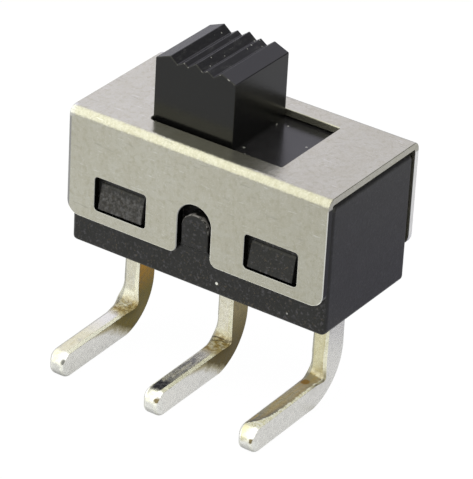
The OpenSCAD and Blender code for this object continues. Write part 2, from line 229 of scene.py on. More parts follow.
def prism(outlines, height, rims, bridges=(), steps=3, shares=None):
    """Closed shell over outlines from height 0 up, with both rims rounded: (points, normals, faces).

    shares scales the rims' radii outline by outline.
    """
    turns = [math.pi / 2 * step / steps for step in range(steps + 1)]
    arc = [(math.sin(turn), math.cos(turn)) for turn in turns]
    profile = [(rims[0] * (1 - across), 0, rims[0] * (1 - up), across, -up) for across, up in arc]
    profile += [(rims[1] * (1 - across), height, -rims[1] * (1 - up), across, up) for up, across in arc]
    points, normals, faces = [], [], []
    total = sum(len(outline) for outline in outlines)
    for inset, face, ease, across, up in profile:
        for share, outline in zip(shares or [1] * len(outlines), outlines):
            for x, y, nx, ny in outline:
                edge = Vector((x - nx * inset * share, y - ny * inset * share, face + ease * share))
                points.append(edge)
                normals.append(Vector((nx * across, ny * across, up)))
    first = 0
    for outline in outlines:
        count = len(outline)
        for row in range(len(profile) - 1):
            for i in range(count):
                a, b = row * total + first + i, row * total + first + (i + 1) % count
                faces.append((a, b, b + total, a + total))
        first += count
    for row in (0, len(profile) - 1):
        rim, start = [], row * total
        for outline in outlines:
            rim.append([tuple(p[:2]) for p in points[start : start + len(outline)]])
            start += len(outline)
        faces += [[row * total + i for i in face] for face in fill(rim, bridges)]
    return points, normals, faces


def make_mesh(name, points, normals, faces):
    """Mesh in millimetres whose faces are turned to agree with the normals, which it keeps."""
    turned = []
    for face in faces:
        a, b, c = (points[i] for i in face[:3])
        out = sum((normals[i] for i in face), Vector())
        turned.append(face if (b - a).cross(c - a).dot(out) >= 0 else list(reversed(face)))
    mesh = bpy.data.meshes.new(name)
    mesh.from_pydata(points, [], turned)
    mesh.shade_smooth()
    mesh.normals_split_custom_set_from_vertices(normals)
    return mesh


def along_x(shell, middle):
    """Stands a prism drawn in (Y, Z) along X, centred on middle."""
    points, normals, faces = shell
    half = max(p.z for p in points) / 2
    points = [Vector((p.z - half + middle, p.x, p.y)) for p in points]
    return points, [Vector((n.z, n.x, n.y)) for n in normals], faces


def along_y(shell, front):
    """Stands a prism drawn in (X, Z) along +Y, with its start at front."""
    points, normals, faces = shell
    points = [Vector((p.x, p.z + front, p.y)) for p in points]
    return points, [Vector((n.x, n.z, n.y)) for n in normals], faces


def raised(shell, bottom):
    points, normals, faces = shell
    return [p + Vector((0, 0, bottom)) for p in points], normals, faces


def slab(name, x, y, z, radius=0.0, rim=0.0):
    """Box mesh from both ends in X, Y and Z, its uprights and rims rounded where a radius is given."""
    outline = rounded(rectangle(x, y), max(radius, 2e-3))
    shell = prism([outline], z[1] - z[0], (max(rim, 1e-3), max(rim, 1e-3)), steps=2)
    return make_mesh(name, *raised(shell, z[0]))


def cylinder(name, radius, axis, start, end, across, sides=48):
    """Cylinder mesh along axis "Y" or "Z", from start to end, about the point across."""
    outline = []
    for i in range(sides):
        x, y = math.cos(2 * math.pi * i / sides), math.sin(2 * math.pi * i / sides)
        outline.append((across[0] + radius * x, across[1] + radius * y, x, y))
    shell = prism([outline], end - start, (1e-3, 1e-3), steps=1)
    return make_mesh(name, *(along_y(shell, start) if axis == "Y" else raised(shell, start)))


def placed(name, data):
    """New object in the scene."""
    made = bpy.data.objects.new(name, data)
    bpy.context.scene.collection.objects.link(made)
    return made


def evaluated(mesh, modifiers):
    """Copy of the mesh with modifiers applied; each is (type, {setting: value})."""
    holder = placed("holder", mesh)
    helpers = []
    for kind, settings in modifiers:
        modifier = holder.modifiers.new(kind, kind)
        for name, value in settings.items():
            if name == "object":
                value = placed("helper", value)
                helpers.append(value)
            setattr(modifier, name, value)
    graph = bpy.context.evaluated_depsgraph_get()
    result = bpy.data.meshes.new_from_object(holder.evaluated_get(graph))
    for made in [holder] + helpers:
        bpy.data.objects.remove(made)
    return result


def combine(mesh, added=(), removed=()):
    """Union of the mesh and the added ones, less the removed ones."""
    steps = [("BOOLEAN", dict(object=m, operation="UNION", solver="EXACT")) for m in added]
    steps += [("BOOLEAN", dict(object=m, operation="DIFFERENCE", solver="EXACT")) for m in removed]
    return evaluated(mesh, steps)


def settled(mesh, sharp_angle):
    """Smooth shading that keeps flat faces flat and edges past sharp_angle (degrees) crisp.

    A corner's normal is the mean of the faces round its point that lie within the angle, and
    larger faces count for more.
    """
    least = math.cos(math.radians(sharp_angle))
    around = [[] for _ in mesh.vertices]
    for face in mesh.polygons:
        for index in face.vertices:
            around[index].append((face.normal.copy(), face.area**2))
    normals = []
    for face in mesh.polygons:
        for index in face.vertices:
            near = (normal * weight for normal, weight in around[index] if normal.dot(face.normal) > least)
            normals.append(sum(near, Vector()).normalized())
    mesh.shade_smooth()
    mesh.normals_split_custom_set(normals)
    return mesh


def piece(name, mesh, body, material, nodes=()):
    """Object in metres from a mesh in millimetres, riding on a CAD body in place of its nodes."""
    for vertex in mesh.vertices:
        vertex.co *= MM
    mesh.name = name
    mesh.materials.clear()
    mesh.materials.append(material)
    made = placed(name, mesh)
    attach(made, body)
    if nodes:
        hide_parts(*nodes)


# --- Cover ---

BEND_START = COVER_SIDE - BEND_OUTER
BEND_RUN = BEND_OUTER * math.pi / 2
BEND_STEPS = 10


def run_of(drop):
    """Distance over the sheet's outer face from the middle line to a drop on a side plate."""
    return BEND_START + BEND_RUN + drop - BEND_OUTER


def fold(shell):
    """Bends the flat sheet (X, run, depth) into the cover's channel."""
    points, normals, faces = shell
    folded, turned = [], []
    for point, normal in zip(points, normals):
        side = math.copysign(1, point.y)
        past = abs(point.y) - BEND_START
        angle = min(max(past / BEND_OUTER, 0), math.pi / 2)
        along = Vector((0, math.cos(angle), -side * math.sin(angle)))
        inward = Vector((0, -side * math.sin(angle), -math.cos(angle)))
        reflected_spot = Vector((point.x, side * BEND_START, -BEND_OUTER)) - inward * BEND_OUTER
        if past < 0:
            reflected_spot.y = point.y
        elif past > BEND_RUN:
            reflected_spot.z -= past - BEND_RUN
        folded.append(reflected_spot + inward * point.z)
        turned.append(Vector((normal.x, 0, 0)) + along * normal.y + inward * normal.z)
    return folded, turned, faces


def cover_outlines():
    """Outline of the flat sheet, then its holes: the slot and the four windows."""
    low, high = COVER_ENDS
    end = run_of(-COVER_LOW.z)
    bends = [BEND_START + BEND_RUN * step / BEND_STEPS for step in range(BEND_STEPS + 1)]
    stations = [-run for run in reversed(bends)] + bends
    (start, stop), top = span(NOTCH_WIDTH, NOTCH_MIDDLE), run_of(NOTCH_DROP)
    notch = [(start, end), (start, top), (stop, top), (stop, end)]
    crown = NOTCH_WIDTH / 2 - 1e-4
    radii = [NOTCH_MOUTH, crown, crown, NOTCH_MOUTH]
    corners = [(low, -end)] + [(x, -y) for x, y in notch] + [(high, -end)]
    corners += [(high, run) for run in stations] + [(high, end)]
    corners += list(reversed(notch)) + [(low, end)] + [(low, run) for run in reversed(stations)]
    sizes = 2 * ([COVER_CORNER] + radii + [COVER_CORNER] + [0.0] * len(stations))
    holes = [(rectangle(SLOT_ENDS, span(SLOT_WIDTH)), SLOT_CORNERS[::-1])]
    for middle in WINDOW_MIDDLES:
        for side in (-1, 1):
            runs = sorted((side * run_of(WINDOW_DROP), side * run_of(WINDOW_DROP + WINDOW_HEIGHT)))
            holes.append((rectangle(span(WINDOW_WIDTH, middle), runs), WINDOW_CORNER))
    outlines = [rounded(corners, sizes)] + [rounded(hole[::-1], radius) for hole, radius in holes]
    left, right = {}, {}
    for i, (x, y, _, _) in enumerate(outlines[0]):
        if x in COVER_ENDS:
            (left if x < 0 else right)[round(y, 5)] = i
    bridges = [(left[round(run, 5)], right[round(run, 5)]) for run in stations]
    return outlines, bridges


def build_cover(material):
    outlines, bridges = cover_outlines()
    shares = [1, 1] + [WINDOW_RIM_SHARE] * (len(outlines) - 2)
    shell = fold(prism(outlines, SHEET, (OUTER_RIM, INNER_RIM), bridges, shares=shares))
    piece("cover_shell", make_mesh("cover_shell", *shell), "body", material, ["frame_cover"])


# --- Base ---


def base_form():
    """Rounded box of the base: every kind of edge has its own radius."""
    shape = bmesh.new()
    bmesh.ops.create_cube(shape, size=1)
    middle = (BASE_TOP + BASE_LOW.z) / 2
    for vertex in shape.verts:
        vertex.co = Vector((
            vertex.co.x * 2 * BASE_HALF_LENGTH, vertex.co.y * 2 * BASE_SIDE,
            vertex.co.z * (BASE_TOP - BASE_LOW.z) + middle,
        ))
    mesh = bpy.data.meshes.new("base_form")
    shape.to_mesh(mesh)
    shape.free()
    weights = mesh.attributes.new("bevel_weight_edge", "FLOAT", "EDGE")
    for edge in mesh.edges:
        a, b = (mesh.vertices[i].co for i in edge.vertices)
        if abs(a.z - b.z) > 1e-3:
            radius = BASE_UPRIGHT_RADIUS
        elif abs(a.x - b.x) > 1e-3:
            radius = BASE_TOP_RADIUS if a.z > middle else BASE_BOTTOM_RADIUS
        else:
            radius = BASE_UPRIGHT_RADIUS if a.z > middle else BASE_END_RADIUS
        weights.data[edge.index].value = radius
    settings = dict(limit_method="WEIGHT", width=1.0, segments=6, profile=0.5, use_clamp_overlap=False)
    return evaluated(mesh, [("BEVEL", settings)])


def turned_about(shell, back):
    """The shell, or with back its copy turned half round the switch's upright axis."""
    if not back:
        return shell
    points, normals, faces = shell
    points, normals = ([Vector((-v.x, -v.y, v.z)) for v in vectors] for vectors in (points, normals))
    return points, normals, faces


def catch(middle, back):
    root = BASE_SIDE - WALL_ROOT
    face = COVER_SIDE - CATCH_RECESS
    corners = [
        (-root, -CATCH_BOTTOM), (-root, -CATCH_TOP), (-BASE_SIDE - CATCH_LEAD, -CATCH_TOP),
        (-face, -CATCH_BOTTOM),
    ]
    radii = [CATCH_CORNER, CATCH_CORNER, CATCH_EASE, CATCH_CORNER]
    shell = prism([rounded(corners, radii)], CATCH_WIDTH, (CATCH_RIM, CATCH_RIM))
    return make_mesh("catch", *turned_about(along_x(shell, middle), back))


def boss(back):
    """Round-topped boss whose face slopes back into the strip below it."""
    half, front, fade_start = BOSS_WIDTH / 2, COVER_SIDE - BOSS_RECESS, BOSS_FOOT - BOSS_FADE
    corners = [
        (-half, -BOSS_FOOT), (half, -BOSS_FOOT), (half, -fade_start), (half, -BOSS_CROWN),
        (-half, -BOSS_CROWN), (-half, -fade_start),
    ]
    crown = half - 1e-4
    outline = rounded(corners, [BOSS_CORNER, BOSS_CORNER, 0.0, crown, crown, 0.0])
    seam = [i for i, point in enumerate(outline) if abs(point[1] + fade_start) < 1e-6]
    depth = front - BASE_SIDE + HOLLOW_DEPTH + WALL_ROOT
    shell = prism([outline], depth, (BOSS_RIM, 0.01), [tuple(seam)])
    points, normals, faces = along_y(shell, -front)
    slope = (front - BASE_SIDE + 0.01) / BOSS_FADE
    for point in points:
        fall = max(-fade_start - point.z, 0)
        point.y += fall * slope * (1 - (point.y + front) / depth)
    return make_mesh("boss", *turned_about((points, normals, faces), back))


def build_base(material):
    added = [catch(side * CATCH_SPACING / 2, back) for side in (-1, 1) for back in (False, True)]
    added += [boss(back) for back in (False, True)]
    pad_x = BASE_HIGH.x - PAD_LENGTH / 2 - PAD_INSET
    pad_y = (POCKET_WIDTH + PAD_WIDTH) / 2
    height = BASE_TOP - BASE_TOP_RADIUS, -SHEET
    added += [slab("pad", span(PAD_LENGTH, x), span(PAD_WIDTH, y), height)
              for x in (-pad_x, pad_x) for y in (-pad_y, pad_y)]
    removed = [
        slab("pocket", span(POCKET_LENGTH), span(POCKET_WIDTH), (-LEDGE_LEVEL, 1)),
        slab("well", span(WELL_LENGTH), span(WELL_WIDTH), (-FLOOR_LEVEL, -LEDGE_LEVEL + 0.5)),
    ]
    groove_y = WELL_WIDTH / 2 + GROOVE_DEPTH - GROOVE_RADIUS
    ends = -GROOVE_BOTTOM, -LEDGE_LEVEL + 0.1
    removed += [cylinder("groove", GROOVE_RADIUS, "Z", *ends, (x, y))
                for x in span(TRAVEL) for y in (-groove_y, groove_y)]
    for terminal in BENT:
        low, high = box_mm(terminal)
        x, y = (low.x - 0.01, high.x + 0.01), (-SHANK_REACH - 0.01, SHANK_REACH + 0.01)
        removed.append(slab("terminal_slot", x, y, (BASE_LOW.z - 1, -FLOOR_LEVEL + 0.5)))
    hollows = []
    for middle in (-BASE_SIDE, BASE_SIDE):
        y, z = span(2 * HOLLOW_DEPTH, middle), (-HOLLOW_BOTTOM, -HOLLOW_TOP)
        hollows.append(slab("hollow", span(HOLLOW_LENGTH), y, z, HOLLOW_CORNER))
    mesh = settled(combine(combine(base_form(), (), hollows), added, removed), SHARP_EDGE)
    piece("base_moulding", mesh, "body", material, ["base_housing"])


# --- Slider ---


def knob_corners():
    """Side view of the knob in (X, Z) with its radii: ridges between two long outer slopes."""
    top, half, root = SLIDER_HIGH.z, KNOB_LENGTH / 2, -(PLATE_LEVEL + PLATE_BOTTOM) / 2
    right = [(x, top - drop) for x, drop in RIDGES]
    row = [(half, top - KNOB_SHOULDER)] + right[::-1] + [(-x, z) for x, z in right[1:]]
    row.append((-half, top - KNOB_SHOULDER))
    corners = [(-half, root), (half, root)] + row
    radii = [KNOB_CORNER] * 3 + [RIDGE_CORNER] * (len(row) - 2) + [KNOB_CORNER]
    return [(x + REST_X + KNOB_SHIFT, z) for x, z in corners], radii


def build_slider(material):
    corners, radii = knob_corners()
    knob = prism([rounded(corners, radii)], KNOB_WIDTH, (KNOB_RIM, KNOB_RIM))
    knob = make_mesh("knob", *along_y(knob, -KNOB_WIDTH / 2))
    plate = slab("plate", (SLIDER_LOW.x, SLIDER_HIGH.x), (SLIDER_LOW.y, SLIDER_HIGH.y),
                 (-PLATE_BOTTOM, -PLATE_LEVEL), SLIDER_CORNER, SLIDER_RIM)
    height = -BLOCK_BOTTOM, -(PLATE_LEVEL + PLATE_BOTTOM) / 2
    block = slab("block", span(BLOCK_LENGTH, REST_X), span(BLOCK_WIDTH), height, SLIDER_CORNER, SLIDER_RIM)
    bore = cylinder("bore", BORE_RADIUS, "Y", -BLOCK_WIDTH, BLOCK_WIDTH, (REST_X, -BALL_LEVEL))
    height = -BLOCK_BOTTOM - 1, -CLIP_TOP
    channel = slab("channel", span(2 * BLOCK_LENGTH, REST_X), span(CLIP_WIDTH), height)
    mesh = settled(combine(knob, [plate, block], [bore, channel]), SHARP_EDGE)
    piece("slider_moulding", mesh, "slider", material, ["slider_knob"])


# --- Terminals ---

# How each leg was bent: its lean along X, how far it stands too high at the kink and at the tip, how
# far its shank stands out in front and behind, how far the metal swelled to the side inside the bend,
# and its inner radius there at the left edge (inner) and at the right (crease).
BENT = {
    "terminal_left": dict(lean=-0.06, kink=0.08, tip=0.0, front=0.14, behind=0.0,
                          swell=0.08, inner=1.2, crease=0.3),
    "terminal_centre": dict(lean=-0.02, kink=0.02, tip=0.0, front=0.09, behind=0.04,
                            swell=0.04, inner=0.95, crease=0.12),
    "terminal_right": dict(lean=-0.06, kink=0.16, tip=0.14, front=0.08, behind=0.12,
                           swell=0.05, inner=0.7, crease=0.12),
}


def ring(corners, radii, steps=6):
    """Section through its corner points, each corner eased over its radius."""
    points = []
    for i, radius in enumerate(radii):
        corner, before, after = corners[i], corners[i - 1], corners[(i + 1) % len(corners)]
        reach = min(radius, 0.48 * min((before - corner).length, (after - corner).length))
        start = corner + (before - corner).normalized() * reach
        end = corner + (after - corner).normalized() * reach
        for step in range(steps + 1):
            t = step / steps
            points.append(start * (1 - t) ** 2 + corner * 2 * t * (1 - t) + end * t * t)
    return points


def section(left, right, back, lean, radii, coin, widths=SQUARE, back_widths=SQUARE):
    """Ring through (Y, Z) points; the coined facet cuts the corner at right towards back."""
    inner, outer = Vector((0, *right)), Vector((0, *back))
    inward = (outer - inner).normalized() * coin[1]
    corners = [
        Vector((lean - widths[0], *left)), inner + Vector((lean + widths[1] - coin[0], 0, 0)),
        inner + inward + Vector((lean + widths[1], 0, 0)), outer + Vector((lean + back_widths[1], 0, 0)),
        outer + Vector((lean - back_widths[0], 0, 0)),
    ]
    return ring(corners, radii)


def inner_path(radius, share, start_z, top, end_y, front):
    """Point (Y, Z) at a share of the way down the shank's front, round the bend and onto the leg."""
    down, arc, out = start_z - top - radius, radius * math.pi / 2, front - radius - end_y
    run = share * (down + arc + out)
    if run < down:
        return front, start_z - run
    if run < down + arc:
        angle = (run - down) / radius
        return front - radius * (1 - math.cos(angle)), top + radius * (1 - math.sin(angle))
    return front - radius - (run - down - arc), top


def fractions(count):
    return [i / count for i in range(1, count + 1)]


def terminal_rings(bent):
    """Sections of a terminal about X = 0, from the top of its blade to the tip of its leg."""
    half, depth = LEG_HALF_WIDTH, SHANK_REACH
    top, under, tip = LEG_LOW.z + LEG_THICKNESS, LEG_LOW.z, LEG_LOW.y - TIP_REACH
    elbow_z = under - ELBOW_SINK + ELBOW_OUTER
    elbow_y = depth - ELBOW_OUTER
    kink_y = elbow_y + math.sqrt(ELBOW_OUTER**2 - (ELBOW_OUTER - ELBOW_SINK) ** 2)
    last_angle = math.asin((ELBOW_OUTER - ELBOW_SINK) / ELBOW_OUTER)

    rings = []
    blade = [(LEG_HIGH.z, 0), (-COLLAR_TOP, 0), (-COLLAR_TOP - 0.01, COLLAR_REACH),
             (-FLOOR_LEVEL + 0.01, COLLAR_REACH), (-FLOOR_LEVEL, 0), (BASE_LOW.z + 0.02, 0)]
    for z, reach in blade:
        edge = depth + reach
        front_at, back_at = (-edge, z), (edge, z)
        rings.append(section(front_at, front_at, back_at, 0, BLADE_RADII, PLAIN_COIN))
    front = depth + bent["front"]
    for share in [0] + fractions(SHANK_RINGS):
        z = BASE_LOW.z - 0.02 - (BASE_LOW.z - 0.02 - elbow_z) * share
        front_at, back_at = (-front, z), (depth + bent["behind"] * share, z)
        coin = blend(PLAIN_COIN, LEG_COIN, share)
        rings.append(section(front_at, front_at, back_at, bent["lean"] * share, SHANK_RADII, coin))
    for share in fractions(BEND_RINGS):
        lift = bent["kink"] * share
        angle = last_angle * share
        back_y = elbow_y + ELBOW_OUTER * math.cos(angle) + bent["behind"] * (1 - share)
        back_z = elbow_z - ELBOW_OUTER * math.sin(angle) + lift
        near = inner_path(bent["inner"], share, elbow_z, top + lift, kink_y, -front)
        far = inner_path(bent["crease"], share, elbow_z, top + lift, kink_y, -front)
        swell = bent["swell"] * math.exp(-(((share - SWELL_AT) / SWELL_SPREAD) ** 2))
        rings.append(section(near, far, (back_y, back_z), bent["lean"], BEND_RADII, LEG_COIN,
                             (half + swell, half + swell / 2)))
    for share in fractions(LEG_RINGS):
        y = kink_y + (tip + TIP_ROUND - kink_y) * share
        lift = bent["kink"] + (bent["tip"] - bent["kink"]) * share
        top_at, under_at = (y, top + lift), (y, under + lift)
        rings.append(section(top_at, top_at, under_at, bent["lean"], blend(*LEG_RADII, share), LEG_COIN))
    for share in fractions(TIP_RINGS):
        angle = math.pi / 2 * TIP_TURN * share
        y = tip + TIP_ROUND * (1 - math.sin(angle))
        sink = LEG_THICKNESS / 2 * (1 - math.cos(angle))
        widths = []
        for side in (TIP_LEFT, TIP_RIGHT):
            slim = min((y - tip) / side, 1)
            widths.append(half - side * (1 - math.sqrt(1 - (1 - slim) ** 2)))
        coin = blend(LEG_COIN, TIP_COIN, min(share * COIN_GROWTH, 1))
        coin = [min(coin[0], 0.6 * sum(widths)), min(coin[1], 0.45 * (LEG_THICKNESS - 2 * sink))]
        top_at, under_at = (y, top + bent["tip"] - sink), (y, under + bent["tip"] + sink)
        radii = blend(*NOSE_RADII, share)
        rings.append(section(top_at, top_at, under_at, bent["lean"], radii, coin, widths, widths))
    return rings


def loft(name, rings):
    """Closed mesh through rings of equally many points."""
    count = len(rings[0])
    points = [point for one in rings for point in one]
    faces = [list(range(count))[::-1], [len(points) - count + i for i in range(count)]]
    for row in range(len(rings) - 1):
        for i in range(count):
            a, b = row * count + i, row * count + (i + 1) % count
            faces.append((a, b, b + count, a + count))
    mesh = bpy.data.meshes.new(name)
    mesh.from_pydata(points, [], faces)
    shape = bmesh.new()
    shape.from_mesh(mesh)
    bmesh.ops.recalc_face_normals(shape, faces=shape.faces)
    shape.to_mesh(mesh)
    shape.free()
    return mesh


def build_terminals(material):
    for node, bent in BENT.items():
        low, high = box_mm(node)
        mesh = settled(loft(node, terminal_rings(bent)), SHARP_LEG_EDGE)
        for vertex in mesh.vertices:
            vertex.co.x += (low.x + high.x) / 2
        piece(node.replace("terminal", "leg"), mesh, "body", material, [node])


# --- Materials ---


class Field:
    """Number or colour that varies over a surface: a shader node's output, with arithmetic on it.

    Masks are fields from 0 to 1: a * b is where both hold, a | b where either does, ~a where a doesn't.
    """

    def __init__(self, socket):
        self.socket, self.tree = socket, socket.id_data

    def math(self, operation, other=0, third=0):
        return field(self.tree, "Math", {0: self, 1: other, 2: third}, operation=operation)

    def __add__(self, other):
        return self.math("ADD", other)

    def __sub__(self, other):
        return self.math("SUBTRACT", other)

    def __mul__(self, other):
        return self.math("MULTIPLY", other)

    def __or__(self, other):
        return self.math("MAXIMUM", other)

    def __abs__(self):
        return self.math("ABSOLUTE")

    def __invert__(self):
        return self.ramp(0, 1, 1, 0)

    def ramp(self, low, high, to_low=0, to_high=1):
        """Goes from to_low to to_high as the field goes from low to high."""
        inputs = {"Value": self, "From Min": low, "From Max": high, "To Min": to_low, "To Max": to_high}
        return field(self.tree, "MapRange", inputs, clamp=True)

    def mix(self, a, b, blend_type="MIX"):
        """Colour a where this mask is 0, turning into b where it is 1."""
        inputs = {0: self, 6: rgb(a), 7: rgb(b)}
        return field(self.tree, "Mix", inputs, 2, data_type="RGBA", blend_type=blend_type)

    def distance(self, point):
        return field(self.tree, "VectorMath", {0: self, 1: point}, "Value", operation="DISTANCE")


def node(tree, kind, inputs=None, **settings):
    """Adds a shader node; inputs are fields, numbers or colours."""
    made = tree.nodes.new("ShaderNode" + kind)
    for name, value in settings.items():
        setattr(made, name, value)
    for name, value in (inputs or {}).items():
        if isinstance(value, Field):
            tree.links.new(value.socket, made.inputs[name])
        else:
            made.inputs[name].default_value = value
    return made


def field(tree, kind, inputs=None, output=0, **settings):
    return Field(node(tree, kind, inputs, **settings).outputs[output])


def rgb(colour):
    """Colour for a shader from a field, (red, green, blue) or a number for a grey."""
    if isinstance(colour, Field):
        return colour
    return (*colour, 1) if isinstance(colour, tuple) else (colour, colour, colour, 1)


def painted(tone, *coats):
    """Tone under coats of (mask, colour), the lowest first; a third item is how it blends."""
    for mask, *coat in coats:
        tone = mask.mix(tone, *coat)
    return tone


def parts(vector):
    split = node(vector.tree, "SeparateXYZ", {0: vector})
    return [Field(output) for output in split.outputs]


def place_mm(tree, stretch=(1, 1, 1), turn=(0, 0, 0)):
    """Place in the piece's own axes, in millimetres, stretched and then turned."""
    inputs = {"Vector": field(tree, "TexCoord", output="Object"), "Rotation": turn,
              "Scale": [s / MM for s in stretch]}
    return field(tree, "Mapping", inputs)


def facing(tree):
    """X, Y and Z of the surface's direction in the piece's own axes."""
    return parts(field(tree, "TexCoord", output="Normal"))


def noise(tree, scale, detail=3, roughness=0.6, distortion=0, stretch=(1, 1, 1), turn=(0, 0, 0)):
    inputs = {"Vector": place_mm(tree, stretch, turn), "Scale": scale, "Detail": detail,
              "Roughness": roughness, "Distortion": distortion}
    return field(tree, "TexNoise", inputs, "Fac")


def dust(tree, scale, share):
    """Mask of a share of small round specks, one to a cell; scale is cells to a millimetre."""
    spots = node(tree, "TexVoronoi", {"Vector": place_mm(tree), "Scale": scale}, feature="F1").outputs
    pick = field(tree, "SeparateColor", {0: Field(spots["Color"])})
    return Field(spots["Distance"]).ramp(0.1, 0.16, 1, 0) * pick.ramp(1 - share, 1.01 - share)


def bump(height, depth, strength, under=None):
    """Relief of a depth in millimetres, on top of the relief under it."""
    inputs = {"Height": height, "Distance": depth * MM, "Strength": strength}
    if under:
        inputs["Normal"] = under
    return field(height.tree, "Bump", inputs)


def new_material(name):
    material = bpy.data.materials.new(name)
    material.use_nodes = True
    material.node_tree.nodes.clear()
    return material, material.node_tree


def finished(material, colour, rough, relief, **others):
    """The material with its shader; others are more of the shader's inputs."""
    tree = material.node_tree
    inputs = {"Base Color": colour, "Roughness": rough, "Normal": relief, **others}
    node(tree, "OutputMaterial", {"Surface": field(tree, "BsdfPrincipled", inputs)})
    return material


def steel_material():
    """Satin plated sheet, brushed along its width before it was folded.

    The punched edges below the bends carry painted highlights on their rims, with painted shade where they
    face up or right; their cut faces are painted near black as shade, save a pale painted highlight at the
    right end.
    """
    material, tree = new_material("cover_steel")
    x, y, z = parts(place_mm(tree))
    sideways, forward, up = facing(tree)
    streaks = noise(tree, 1, 5, 0.65, 1.2, (5, 0.7, 0.7))
    scratches = noise(tree, 1, 2, 0.5, 0, (1.2, 9, 9), (0, 0.5, 0.6))
    sheet = noise(tree, 1.4, 5, 0.62, 0.4).ramp(0.38, 0.62).mix((0.55, 0.533, 0.445), (0.59, 0.58, 0.505))
    sheet = painted(
        sheet, (streaks.ramp(0.4, 0.66, 0, 0.6), (0.62, 0.605, 0.52)),
        (noise(tree, 4.5).ramp(0.5, 0.68, 0, 0.75), (0.5, 0.482, 0.385)),
        (noise(tree, 15, 2, 0.5).ramp(0.58, 0.72, 0, 0.75), (0.67, 0.665, 0.61)),
        (scratches.ramp(0.68, 0.72, 0, 0.55), (0.8, 0.8, 0.76)),
        (scratches.ramp(0.34, 0.28, 0, 0.5), (0.42, 0.41, 0.35)),
        # Painted shade: darker and more olive towards the right end, most on the tops, and the tops a
        # little darker all along.
        ((up.ramp(0.8, 1, 0, 0.06) + 0.09) * x.ramp(-1, 5), (0.06, 0.05, 0)),
        (up.ramp(0.9, 1, 0, 0.045), 0),
    )

    left_end, right_end = COVER_ENDS
    plates = z.ramp(-BEND_OUTER - 0.02, -BEND_OUTER - 0.08)
    outward = forward * y.math("SIGN")
    # Painted shade: the cut faces below the bends are near black; the outer part of those at the right end
    # is painted pale as a highlight.
    cut = plates * outward.ramp(0.45, 0.25) * outward.ramp(-0.995, -0.95)
    end_cut_highlight = cut * abs(x).ramp(right_end - 0.1, right_end - 0.05)
    end_cut_highlight *= y.ramp(COVER_SIDE - 0.285, COVER_SIDE - 0.26)
    # Painted highlight: the rounded rims are near white, painted darker as shade where they face up or
    # right, and pale grey at the right end.
    rim = plates * outward.ramp(0.995, 0.94) * outward.ramp(0.25, 0.4)
    rim_in_shade = sideways.ramp(0.1, 0.3) * x.ramp(right_end - 0.2, right_end - 0.3) | up.ramp(0.2, 0.4)
    rim_light_and_shade = painted(rim_in_shade.mix((1, 0.99, 0.95), 0.38), (x.ramp(right_end - 0.12, right_end - 0.08), 0.6))
    bend = abs(y).ramp(BEND_START - 0.1, BEND_START + 0.05) * z.ramp(-BEND_OUTER - 0.03, -BEND_OUTER + 0.03)
    crinkle = bend * noise(tree, 11, 3, 0.65)
    # The plates' left end is painted dark grey, and the bend whiter towards its left end as a painted
    # highlight.
    tone = painted(
        sheet, (rim, rim_light_and_shade), (plates * x.ramp(left_end + 0.14, left_end + 0.1), (0.36, 0.36, 0.365)),
        (cut, (0.018, 0.018, 0.017)), (end_cut_highlight, (0.8, 0.8, 0.81)),
        (bend * x.ramp(left_end + 0.3, left_end + 0.1), 0.7),
        (crinkle.ramp(0.45, 0.65, 0, 0.35), (0.4, 0.39, 0.31)),
    )
    relief = bump(streaks, 0.004, 0.35)
    relief = bump(noise(tree, 1, 2, stretch=(34, 6, 6)), 0.002, 0.3, relief)
    relief = bump(crinkle, 0.02, 0.6, relief)
    metallic = (end_cut_highlight | rim * ~rim_in_shade).ramp(0, 1, 0.92, 0.3)
    return finished(material, tone, streaks.ramp(0.3, 0.7, 0.18, 0.25), relief, Metallic=metallic)


def base_plastic_material():
    """Black glass-filled moulding: granular, with bluish and brownish flecks, a worn boss, and painted
    light on the left front catch.
    """
    material, tree = new_material("base_moulding")
    place = place_mm(tree)
    x, y, z = parts(place)
    grain, flecks = noise(tree, 9, 4, 0.65), noise(tree, 6, 3.5, 0.65)
    stains = noise(tree, 10, 2, 0.5, stretch=(1.1, 1, 1))
    shown = abs(facing(tree)[0]).ramp(0.5, 0.8, 0.75, 0.2)  # marks are fewer on the ends

    crown_z, crown_radius = -BOSS_CROWN - BOSS_WIDTH / 2, BOSS_WIDTH / 2
    radius = field(tree, "CombineXYZ", {0: x, 2: z}).distance((0, 0, crown_z))
    crown = radius.ramp(crown_radius - 0.05, crown_radius - 0.02)
    crown *= radius.ramp(crown_radius + 0.1, crown_radius + 0.05) * noise(tree, 6).ramp(0.44, 0.52)
    crown *= z.ramp(crown_z - 0.1, crown_z + 0.2) * abs(y).ramp(BASE_SIDE, BASE_SIDE + 0.1)
    # Painted light: the left front catch's face is lighter below its top, which is left dark as shade.
    lit_catch_left = y.ramp(-BASE_SIDE - 0.02, -BASE_SIDE - 0.05) * x.ramp(-1.5, -1.6)
    lit_catch_left *= z.ramp(-CATCH_TOP - 0.05, -CATCH_TOP - 0.4) * grain.ramp(0.4, 0.6, 0.3, 1)
    colour = painted(
        grain.ramp(0.35, 0.75).mix(0.003, 0.009),
        (noise(tree, 1.1, 3, 0.5).ramp(0.45, 0.7, 0, 0.4), (0.014, 0.014, 0.016)),
        (shown * flecks.ramp(0.55, 0.68), (0.062, 0.06, 0.072)),
        (shown * stains.ramp(0.62, 0.72), (0.07, 0.054, 0.036)),
        (dust(tree, 3, 0.05), (0.13, 0.13, 0.135)), (crown, (0.22, 0.21, 0.215)),
        (lit_catch_left, flecks.ramp(0.4, 0.62).mix((0.022, 0.019, 0.016), (0.085, 0.083, 0.088))),
    )
    for speck_x, speck_z, size, tone in BASE_SPECKS:
        away = place.distance((speck_x, -BASE_SIDE, speck_z))
        colour = away.ramp(size, 0.7 * size).mix(colour, tone)
    relief = bump(noise(tree, 14), 0.012, 0.6)
    return finished(material, colour, grain.ramp(0.3, 0.7, 0.34, 0.46), relief, IOR=1.45)


